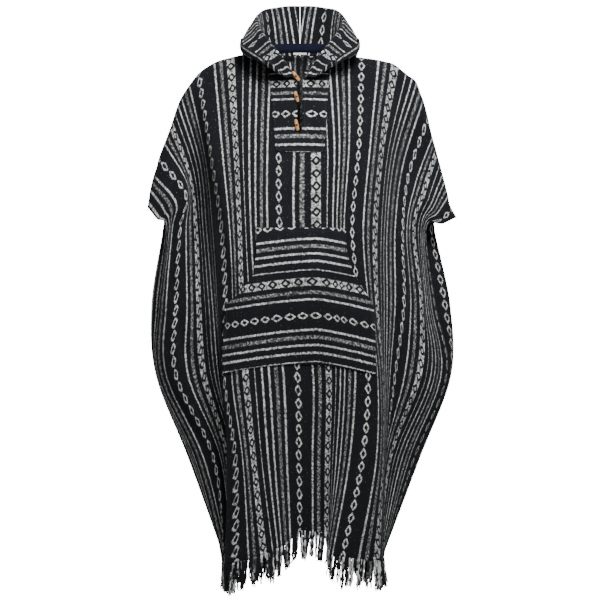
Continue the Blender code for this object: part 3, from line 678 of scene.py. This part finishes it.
def pocket_droop(x):
    """How far the pocket's stripes hang down at the sides, in metres."""
    left = LEFT_DROOP * np.clip((POCKET_CREST - x) / LEFT_SPAN, 0, 2) ** LEFT_POWER
    right = RIGHT_DROOP * np.clip((x - POCKET_CREST) / RIGHT_SPAN, 0, 2) ** RIGHT_POWER
    return left + right


def make_pocket(paint):
    columns, rows = POCKET_GRID
    under, outer, across = fine_patch(POCKET_EDGES, columns, rows, POCKET_SEAT,
                                      POCKET_PUFF, POCKET_ARCH)
    v = across - CHAIN_AT * MM
    rise = outer[:, :, 2] - POCKET_CHAIN + pocket_droop(outer[:, :, 0])
    u = CHAIN_AT * MM + rise * np.where(rise > 0, POCKET_SCALES[0], POCKET_SCALES[1])
    uv = np.stack([u, v], -1)
    quads = grid_quads(columns, rows)
    return shell("pocket_cloth", "pocket", (outer, under), quads, uv, paint), outer


def make_bib(paint):
    columns, rows = BIB_GRID
    parts = [fine_patch(BIB_EDGES, columns, rows, BIB_SEAT, half=h) for h in ("left", "right")]
    unders, outers = [np.concatenate([p[k] for p in parts]) for k in (0, 1)]
    across = np.concatenate([p[2] for p in parts])
    steps = np.linspace(BIB_EDGES[0][0], BIB_EDGES[-1][0], rows)
    above = BIB_CHAIN + outers[:, :, 2]
    above = above * np.where(above > 0, BIB_SCALES[0], BIB_SCALES[1])
    u = CHAIN_AT * MM + above + np.abs(across) * BIB_DROOP
    shift = np.where(np.arange(2 * columns) < columns, 0, BIB_RIGHT_SHIFT)
    uv = np.stack([u, across - shift[:, None]], -1)
    open_rows = int(np.sum(steps < SLIT_STATION))
    from_middle = across.copy()
    from_middle[columns - 1] = -HAIR
    for sheet in (unders, outers):
        sheet[:, :, 0] = part_slit(sheet, from_middle, -outers[:, :, 2])
    quads = grid_quads(columns, rows) + grid_quads(columns, rows, first=columns * rows)
    joined = {columns * rows + j: (columns - 1) * rows + j for j in range(open_rows, rows)}
    quads = [tuple(joined.get(v, v) for v in q) for q in quads]
    keep = [v for v in range(2 * columns * rows) if v not in joined]
    order = {v: n for n, v in enumerate(keep)}
    quads = [tuple(order[v] for v in q) for q in quads]
    sheets = [sheet.reshape(-1, 3)[keep] for sheet in (outers, unders)]
    thing = shell("bib_cloth", "placket", sheets, quads, uv.reshape(-1, 2)[keep], paint)
    return thing, outers


def make_hood(name, node, side, paint):
    columns, rows = HOOD_GRID
    turn = np.linspace(0, 1, columns)[:, None]
    profile = np.linspace(0, 4, rows)[None, :]
    points = hood_points(turn, profile)
    wave = HOOD_WAVE * np.sin(turn * 19 + profile * 1.7) * np.sin(profile * math.pi / 4)
    points[:, :, 2] += wave * np.clip((1 - turn) / WAVE_REACH, 0, 1)
    points[-1, :, 0] = 0
    normal = grid_normals(points)
    normal[-1, :, 0] = 0
    normal /= np.linalg.norm(normal, axis=-1, keepdims=True)
    normal *= np.sign(np.sum(normal[:, rows // 4, 2]))
    inner = points - normal * CLOTH
    around = length_along(points[::-1, rows // 4])[::-1]
    run = run_along(points)
    u = CHAIN_AT * MM + np.interp(around, *HOOD_PLACES[side])[:, None]
    u = u - HOOD_SLANT * run * np.exp(-around[:, None] / SLANT_REACH)
    uv = np.stack([np.broadcast_to(u, run.shape), run], -1)
    band = np.clip((profile - BAND_FROM) / BAND_BLEND, 0, 1) * (turn > BAND_START)
    band = band * np.clip((BAND_TO - turn) / BAND_BLEND, 0, 1)
    rim_run = run[:, -1:] - run
    along_rim = np.stack([RIM_STRIPE - rim_run, np.broadcast_to(around[:, None], run.shape)], -1)
    uv = np.where(band[..., None] > 0.5, along_rim, uv)
    for sheet in (points, inner):
        sheet[:, :, 0] = side * (sheet[:, :, 0] + GAP / 2)
    return shell(name, node, (points, inner), grid_quads(columns, rows), uv, paint)


def make_strip(name, node, first_turn, low, high, thick, paint):
    """The tape or the label, on the hood's face towards the neck."""
    turn = np.linspace(first_turn, 1, TAPE_STEPS)
    profile = np.array([[low, (low + high) / 2, high]]) / HOOD_STEPS
    right = hood_points(turn[:, None], profile)
    left = right[::-1][1:].copy()
    left[:, :, 0] *= -1
    points = np.concatenate([right, left])
    way = -points.copy()
    way[:, :, 2] = 0
    way /= np.linalg.norm(way, axis=-1, keepdims=True)
    base = points + way * TAPE_SEAT
    face = base + way * thick
    run = run_along(face)
    along = length_along(face[:, 1])
    uv = np.stack([np.broadcast_to(along[:, None], run.shape), run], -1)
    return shell(name, node, (face, base), grid_quads(len(points), 3), uv, paint)


def tube(path, radii, sides):
    """Verts and faces of a closed tube along a path."""
    path = np.asarray(path)
    way = np.gradient(path, axis=0)
    way /= np.linalg.norm(way, axis=1, keepdims=True)
    across = np.cross(way, [0.0, 1.0, 0.02])
    across /= np.linalg.norm(across, axis=1, keepdims=True)
    deep = np.cross(way, across)
    angle = 2 * math.pi * np.arange(sides) / sides
    ring = np.multiply.outer(np.cos(angle), across) + np.multiply.outer(np.sin(angle), deep)
    ring = ring.transpose(1, 0, 2) * np.asarray(radii)[:, None, None]
    verts = (path[:, None] + ring).reshape(-1, 3)
    faces = []
    for r in range(len(path) - 1):
        for k in range(sides):
            a, b = r * sides + k, r * sides + (k + 1) % sides
            faces.append((a, b, b + sides, a + sides))
    faces.append(tuple(reversed(range(sides))))
    faces.append(tuple((len(path) - 1) * sides + k for k in range(sides)))
    return verts, faces


def join(parts, uvs=None):
    """Many small meshes as one list of verts, faces and cloth places."""
    verts, faces, places, base = [], [], [], 0
    for n, (v, f) in enumerate(parts):
        verts.append(v)
        faces += [tuple(base + i for i in face) for face in f]
        if uvs is not None:
            places.append(uvs[n])
        base += len(v)
    return np.concatenate(verts), faces, np.concatenate(places) if uvs is not None else None


def yarn(dice, root, middle, clump_lean, clump_reach):
    """One wavy, twisted yarn that leans into its clump, as verts and faces."""
    steps = np.linspace(0, 1, YARN_RINGS)
    pull = (middle - root) * dice.uniform(*YARN_PULL)
    pull[2] = 0
    lean = np.array([clump_lean * CLUMP_LEAN + dice.uniform(-1, 1) * YARN_LEAN,
                     dice.uniform(-1, 1) * YARN_LEAN, 0])
    length = FRINGE_LONG * clump_reach * dice.uniform(*YARN_REACH)
    phase, wave = dice.uniform(0, 6.3, 2), dice.uniform(*YARN_WAVE)
    path = root[None] + np.array([0, 0, YARN_ROOT])[None] - np.outer(steps, [0, 0, length])
    gather = np.sin(np.clip(steps * 1.6, 0, 1) * math.pi / 2)
    path = path + np.outer(gather, pull) + np.outer(steps**1.5, lean)
    for axis in (0, 1):
        path[:, axis] += wave * np.sin(steps * YARN_TURNS[axis] + phase[axis]) * steps
    radii = dice.uniform(*YARN_RADIUS) * (1 - YARN_TAPER * steps**3)
    radii = radii * (1 + TWIST_DEEP * np.sin(steps * TWIST_TURNS + phase[1]))
    return tube(path, radii, YARN_SIDES)


def make_fringe(name, node, grids, count, seed, paint):
    """Wavy yarns in loose clumps under the hem, most in the colours of the warp above them."""
    dice = np.random.default_rng(seed)
    across, points, inner, uv = grids
    outer_row, inner_row, run = points[:, -1], inner[:, -1], uv[:, -1, 1]
    along = length_along(outer_row[:, :2])
    numbers = range(len(along))
    at = np.interp(np.sort(dice.uniform(YARN_INSET, along[-1] - YARN_INSET, count)), along, numbers)
    parts, places = [], []
    clump = np.round(np.interp(at, numbers, along) / CLUMP_WIDE).astype(int)
    clump_reach = dice.uniform(*CLUMP_REACH, clump.max() + 2)
    clump_lean = dice.uniform(-1, 1, clump.max() + 2)
    core = (outer_row + inner_row) / 2
    for spot, c in zip(at, clump):
        low = int(spot)
        t = spot - low
        root = core[low] * (1 - t) + core[low + 1] * t
        middle = outer_row[int(np.interp(c * CLUMP_WIDE, along, numbers))]
        parts.append(yarn(dice, root, middle, clump_lean[c], clump_reach[c]))
        verts = parts[-1][0]
        u = np.full(len(verts), np.interp(spot, numbers, across))
        if dice.random() < PALE_YARNS:
            stripe = CHAIN_AT + WHITE_STRIPES[dice.integers(len(WHITE_STRIPES))][0] + REPEAT
            u = np.full(len(verts), stripe * MM)
        v = run[low] + (root[2] - verts[:, 2]) * 0.2
        places.append(np.stack([u, v], -1))
    verts, faces, spots = join(parts, places)
    return finish_piece(link(name, verts, faces, spots), paint, node)


def make_stitches(lines, paint):
    """Short stitches of dark thread along the sewn edges."""
    parts = []
    for points in lines:
        run = length_along(points)
        for start in np.arange(STITCH_START, run[-1] - STITCH_END, STITCH_PITCH):
            at = start + np.array(STITCH_SPOTS)
            path = np.stack([np.interp(at, run, points[:, axis]) for axis in range(3)], -1)
            parts.append(tube(path + THREAD_OFF, STITCH_RADII, YARN_SIDES))
    finish_piece(link("stitching", *join(parts)[:2]), paint)


def make_toggles(wood, cord):
    """Turned wooden toggles, each with a cord through its middle and a loop beside it."""
    for n, (x_mm, z_mm, lean_mm, reach_mm, lift_mm) in enumerate(TOGGLE_ROWS):
        x, z, reach = x_mm * MM, z_mm * MM, reach_mm * MM
        y = bib_face(x, z, TOGGLE_WIDE, reach) - TOGGLE_WIDE / 2 - GAP - lift_mm * MM
        top = np.array([x - lean_mm * MM, y, z + reach])
        bottom = np.array([x + lean_mm * MM, y, z - reach])
        t = np.linspace(0, 1, TOGGLE_GRID[0])
        swell = np.clip(np.sin(math.pi * t), 0, 1) ** TOGGLE_ROUND
        notch = 1 - NOTCH_DEEP * np.exp(-(((t - 0.5) / NOTCH_WIDE) ** 2))
        radii = np.maximum(TOGGLE_WIDE / 2 * swell * notch, TOGGLE_TIP)
        path = top[None] + np.outer(t, bottom - top)
        piece = link(f"toggle_{n + 1}_wood", *tube(path, radii, TOGGLE_GRID[1]))
        finish_piece(piece, wood, f"toggle_{n + 1}")
        make_loop(n + 1, x, y, z, cord)


def make_loop(number, x, y, z, cord):
    """The dark cord: through the toggle's hole, and in a small loop beside it."""
    a = np.linspace(0, 2 * math.pi, 33)[:-1]
    ring = np.stack([LOOP_HALF_WIDE * np.cos(a), a * 0, LOOP_HALF_HIGH * np.sin(a)], -1)
    ring += (x + LOOP_BESIDE, 0, z)
    for spot in ring:
        spot[1] = bib_face(spot[0], spot[2]) - GAP - LOOP_THICK / 2
    ring = np.concatenate([ring, ring[:1]])
    twist = CORD_RADIUS * (1 + CORD_TWIST * np.sin(np.arange(len(ring)) * CORD_TURN))
    hole = [(x + dx, y - TOGGLE_WIDE * out, z + dz) for dx, out, dz in HOLE_CORD]
    verts, faces = join([tube(ring, twist, 8), tube(hole, HOLE_RADII, 8)])[:2]
    finish_piece(link(f"loop_{number}_cord", verts, faces), cord, f"loop_{number}")


class Graph:
    """Short names for a material's nodes."""

    def __init__(self, name):
        self.material = bpy.data.materials.new(name)
        self.material.use_nodes = True
        self.tree = self.material.node_tree
        self.shader = self.tree.nodes["Principled BSDF"]

    def put(self, socket, value):
        if isinstance(value, bpy.types.NodeSocket):
            self.tree.links.new(value, socket)
        else:
            socket.default_value = value

    def surface(self, color, roughness, specular=0.5, sheen=0.0):
        """The shader's own values: roughness may be a number or a socket."""
        names = ("Base Color", "Roughness", "Specular IOR Level", "Sheen Weight")
        for name, value in zip(names, (color, roughness, specular, sheen)):
            self.put(self.shader.inputs[name], value)

    def node(self, kind, *values):
        """A new node with its first inputs filled in."""
        node = self.tree.nodes.new(kind)
        for socket, value in zip(node.inputs, values):
            self.put(socket, value)
        return node

    def math(self, operation, *values):
        node = self.node("ShaderNodeMath", *values)
        node.operation = operation
        return node.outputs[0]

    def add(self, a, b):
        return self.math("ADD", a, b)

    def times(self, a, b):
        return self.math("MULTIPLY", a, b)

    def most(self, a, b):
        return self.math("MAXIMUM", a, b)

    def size(self, a):
        return self.math("ABSOLUTE", a)

    def fade(self, value, low, high, out_low, out_high):
        node = self.node("ShaderNodeMapRange", value, low, high, out_low, out_high)
        node.interpolation_type = "SMOOTHSTEP"
        return node.outputs[0]

    def cloud(self, place, space, scale, detail):
        node = self.node("ShaderNodeTexNoise", place)
        node.noise_dimensions = space
        node.inputs["Scale"].default_value = scale
        node.inputs["Detail"].default_value = detail
        return node.outputs[0]

    def noise(self, u, v, per_u, per_v, detail):
        """Noise over the cloth, with its own fineness (1/mm) across and along."""
        spot = self.node("ShaderNodeCombineXYZ", self.times(u, per_u), self.times(v, per_v))
        return self.cloud(spot.outputs[0], "2D", 1.0, detail)

    def grain(self, scale, detail, stretch):
        """Noise in the object's own space, drawn out along some axes."""
        place = self.node("ShaderNodeTexCoord").outputs["Object"]
        spread = self.node("ShaderNodeMapping", place)
        spread.inputs["Scale"].default_value = stretch
        return self.cloud(spread.outputs[0], "3D", scale, detail)

    def mix(self, factor, a, b):
        node = self.node("ShaderNodeMix", factor)
        node.data_type = "RGBA"
        self.put(node.inputs[6], a)
        self.put(node.inputs[7], b)
        return node.outputs[2]

    def bump(self, height, distance, strength):
        node = self.node("ShaderNodeBump", strength, distance)
        self.put(node.inputs["Height"], height)
        self.put(self.shader.inputs["Normal"], node.outputs[0])

    def cloth_places(self):
        """Across and along the cloth in mm."""
        node = self.node("ShaderNodeUVMap")
        node.uv_map = "cloth"
        split = self.node("ShaderNodeSeparateXYZ", node.outputs[0])
        return [self.times(split.outputs[axis], 1000.0) for axis in (0, 1)]


def stripes(g, spot, table, solid, gone):
    """Lines at the table's middles (mm). They fade from one share of their width to another."""
    best = None
    for middle, wide in table:
        off = g.size(g.add(spot, -float(middle)))
        line = g.fade(off, wide * solid, wide * gone, 1.0, 0.0)
        best = line if best is None else g.most(best, line)
    return best


def lozenge(g, across, along, points, bulges, share):
    """0 in the middle and about 1 at the edge of a shape between a diamond and an oval (mm)."""
    straight = g.add(g.times(across, 1 / points[0]), g.times(along, 1 / points[1]))
    squares = [g.math("POWER", g.times(d, 1 / r), 2.0) for d, r in zip((across, along), bulges)]
    oval = g.math("SQRT", g.add(*squares))
    return g.add(g.times(straight, share), g.times(oval, 1 - share))


def outline(g, shape, inner, outer):
    return g.times(g.fade(shape, *inner, 0.0, 1.0), g.fade(shape, *outer, 1.0, 0.0))


def diamond_band(g, off, off_along, dashes):
    """A pale band with dark diamonds, a dot in each and a dark knot between them."""
    shape = lozenge(g, off, off_along, (9.6, 12.6), (7.8, 9.6), 0.7)
    line = outline(g, shape, (0.36, 0.5), (0.9, 1.08))
    off_knot = g.times(g.math("SUBTRACT", PITCH / 2, off_along), 1 / 3.0)
    knot = g.fade(g.add(g.times(off, 1 / 5.0), off_knot), 0.5, 1.0, 0.8, 0.0)
    dot = g.fade(shape, 0.02, 0.14, 0.6, 0.0)
    ink = g.most(g.most(line, knot), dot)
    band = g.fade(off, BAND_WIDE * 0.42, BAND_WIDE * 0.53, 1.0, 0.0)
    band = g.times(band, g.math("SUBTRACT", 1.0, ink))
    return g.times(band, g.fade(dashes, 0.32, 0.52, 0.5, 1.0))


def eye_chain(g, off, off_along):
    """A chain of pale eyes, each a ring round a dark middle."""
    shape = lozenge(g, off, off_along, (8.0, 13.6), (6.8, 11.4), 0.62)
    return outline(g, shape, (0.5, 0.62), (0.9, 1.04))


def grey_shade(value):
    return (value, value * 1.01, value, 1)


def cloth_material(name, strength):
    """Brushed cotton: warp stripes, diamond bands and a chain of eyes, all drawn by rule."""
    g = Graph(name)
    u, v = g.cloth_places()
    wander = g.noise(u, v, 0.05, 0.16, 3.0)
    slub = g.noise(u, v, 0.2, 0.42, 3.0)
    fray = g.noise(u, v, 0.6, 0.8, 1.0)
    shift = g.add(g.times(g.add(wander, -0.5), 2.4), g.times(g.add(slub, -0.5), 2.6))
    shift = g.add(shift, g.times(g.add(fray, -0.5), 3.2))
    x = g.add(g.add(u, shift), -CHAIN_AT)
    spot = g.math("WRAP", x, REPEAT, 0.0)
    along = g.math("WRAP", g.add(v, g.times(g.add(wander, -0.5), 3.0)), PITCH / 2, -PITCH / 2)
    off_along = g.size(along)
    dashes = g.noise(u, v, 0.26, 0.2, 3.0)
    white = stripes(g, spot, WHITE_STRIPES, 0.24, 0.62)
    grey = stripes(g, spot, GREY_STRIPES, 0.34, 0.58)
    grey = g.times(grey, g.fade(dashes, 0.4, 0.66, 0.1, 0.55))
    band = diamond_band(g, g.size(g.add(spot, -BAND_AT)), off_along, dashes)
    eyes = eye_chain(g, g.size(g.math("WRAP", x, REPEAT / 2, -REPEAT / 2)), off_along)
    mask = g.most(g.most(white, grey), g.most(band, eyes))
    picks = g.fade(g.noise(u, v, 0.22, 0.24, 3.0), 0.36, 0.6, 0.24, 1.12)
    slow = g.fade(g.noise(u, v, 0.03, 0.055, 2.0), 0.3, 0.7, 0.66, 1.08)
    pick_row = g.size(g.math("SINE", g.times(v, math.pi / PICK_PITCH)))
    mask = g.times(mask, g.times(picks, slow))
    mask = g.times(mask, g.fade(pick_row, 0.0, 0.5, 0.8, 1.0))
    lint = g.fade(g.noise(u, v, 0.34, 0.3, 4.0), 0.68, 0.8, 0.0, 0.22)
    mask = g.math("MINIMUM", g.most(mask, lint), 1.0)
    dark = g.mix(g.noise(u, v, 0.012, 0.012, 3.0), *DARK_YARN)
    # A strength below 1 dims the pale yarns: painted shade, used on the panels' inside faces
    light = g.mix(slub, *[grey_shade(shade * strength) for shade in PALE_YARN])
    g.surface(g.mix(mask, dark, light), 0.93, 0.12, 0.035)
    g.shader.inputs["Sheen Roughness"].default_value = 0.55
    g.shader.inputs["Sheen Tint"].default_value = (0.75, 0.8, 0.9, 1)
    fuzz = g.times(g.noise(u, v, 0.9, 0.8, 3.0), 0.5)
    height = g.add(g.times(mask, 0.35), g.add(fuzz, g.times(pick_row, 0.25)))
    g.bump(height, 0.0007, 0.8)
    return g.material


def plain_weave(name, dark, light, rough, pitch, sheen):
    """A fine plain weave in two close shades."""
    g = Graph(name)
    u, v = g.cloth_places()
    across, along = [g.math("SINE", g.times(d, math.pi / pitch)) for d in (u, v)]
    weave = g.add(g.times(g.times(across, along), 0.5), 0.5)
    worn = g.noise(u, v, 0.1, 0.1, 3.0)
    g.surface(g.mix(g.times(weave, worn), dark, light), rough, 0.1, sheen)
    g.bump(weave, 0.0003, 0.7)
    return g.material


def wood_material():
    g = Graph("toggle_wood_grain")
    grain = g.grain(240.0, 5.0, (3.0, 3.0, 0.45))
    patch = g.grain(60.0, 2.0, (1.0, 1.0, 1.0))
    tan = g.mix(patch, *TAN_WOOD)
    color = g.mix(g.fade(grain, 0.4, 0.68, 0.0, 1.0), tan, WOOD_STREAK)
    g.surface(color, g.fade(grain, 0.2, 0.8, 0.42, 0.62))
    g.bump(grain, 0.0003, 0.5)
    return g.material


def cord_material(name, dark, light):
    g = Graph(name)
    twist = g.grain(900.0, 3.0, (1.0, 1.0, 2.4))
    g.surface(g.mix(twist, dark, light), 0.85, 0.1, 0.02)
    g.bump(twist, 0.0004, 0.8)
    return g.material


def paper_material():
    g = Graph("pale_paper")
    g.surface(g.mix(g.grain(3.0, 2.0, (1.0, 1.0, 1.0)), *PALE_PAPER), 0.9)
    return g.material


def make_stage():
    """A pale floor well below the hem. Behind it the world itself is the white backdrop."""
    a = np.linspace(0, 2 * math.pi, 49)[:-1]
    rim = np.stack([FLOOR_RADIUS * np.cos(a), FLOOR_RADIUS * np.sin(a), a * 0 + FLOOR], -1)
    floor = link("backdrop", rim, [tuple(range(len(rim)))])
    floor.data.materials.append(paper_material())


def add_light(name, place, target, size, power):
    lamp = bpy.data.lights.new(name, "AREA")
    lamp.shape = "RECTANGLE"
    lamp.size, lamp.size_y = size
    lamp.energy = power
    thing = put_in_scene(name, lamp)
    thing.location = place
    way = np.array(target, float) - np.array(place, float)
    turn = math.atan2(-way[0], way[1])
    tilt = math.acos(-way[2] / np.linalg.norm(way))
    thing.rotation_euler = (tilt, 0, turn)


def make_world():
    """White all round: dim as light, and bright where the camera sees it."""
    world = bpy.data.worlds.new("studio")
    world.use_nodes = True
    paint = world.node_tree.nodes["Background"]
    paint.inputs["Color"].default_value = (1, 1, 1, 1)
    ray = world.node_tree.nodes.new("ShaderNodeLightPath")
    seen = world.node_tree.nodes.new("ShaderNodeMapRange")
    seen.inputs["To Min"].default_value = WORLD_LIGHT
    seen.inputs["To Max"].default_value = WORLD_SEEN
    world.node_tree.links.new(ray.outputs["Is Camera Ray"], seen.inputs["Value"])
    world.node_tree.links.new(seen.outputs["Result"], paint.inputs["Strength"])
    bpy.context.scene.world = world


def make_camera():
    lens = bpy.data.cameras.new("camera")
    lens.lens = lens.sensor_width / 2 / (VIEW_WIDE / 2 / CAMERA_AWAY)
    lens.clip_end = 90
    thing = put_in_scene("camera", lens)
    thing.location = (0, -CAMERA_AWAY - FRONT_OUT, VIEW_MIDDLE)
    thing.rotation_euler = (math.pi / 2, 0, 0)
    bpy.context.scene.camera = thing


def sewn_lines(pocket, bib):
    """The edges where stitches show."""
    half = len(bib) // 2
    lines = [pocket[:, 2], pocket[:, -3], pocket[3, 30:], pocket[-4, 30:]]
    lines += [bib[2, 4:], bib[-3, 4:], bib[:half, -3], bib[half:, -3]]
    return lines + [bib[half - 3, 6:-14], bib[half + 2, 6:-14]]


def make_neck_pieces():
    """The tape, and the label under it. Returns the tape."""
    tape_paint = plain_weave("navy_tape", *NAVY_TAPE, 0.85, 0.8, 0.0)
    label_paint = plain_weave("blank_label", *LABEL_CLOTH, 0.7, 0.5, 0.1)
    tape = make_strip("tape_strip", "neck_tape", TAPE_FROM / HOOD_TURNS, TAPE_LOW, TAPE_HIGH,
                      TAPE_THICK, tape_paint)
    make_strip("label_tab", "label", LABEL_FROM / HOOD_TURNS, LABEL_LOW, TAPE_LOW - LABEL_APART,
               LABEL_THICK, label_paint)
    return tape


def main():
    """Builds every piece of the garment, then the stage, the light and the camera."""
    cotton = cloth_material("striped_cotton", 1.0)
    # The inside faces get a darker copy of the cloth, as painted shade
    shaded_inside = cloth_material("cotton_inside_painted_shade", INSIDE_SHADE_SHARE)
    front_piece, front_grids = make_front(cotton, shaded_inside)
    back_piece, back_grids = make_back(cotton, shaded_inside)
    pocket_piece, pocket_outer = make_pocket(cotton)
    bib_piece, bib_outer = make_bib(cotton)
    halves = [make_hood(f"{node}_cloth", node, side, cotton)
              for node, side in (("hood_left", -1), ("hood_right", 1))]
    tape = make_neck_pieces()
    fringe_f = make_fringe("fringe_front_yarn", "fringe_front", front_grids, 400, 5, cotton)
    fringe_b = make_fringe("fringe_back_yarn", "fringe_back", back_grids, 200, 9, cotton)
    make_toggles(wood_material(), cord_material("black_cord", *BLACK_CORD))
    make_stitches(sewn_lines(pocket_outer, bib_outer), cord_material("dark_thread", *DARK_THREAD))
    make_stage()
    for light in LIGHTS:
        add_light(*light)
    make_world()
    make_camera()


main()
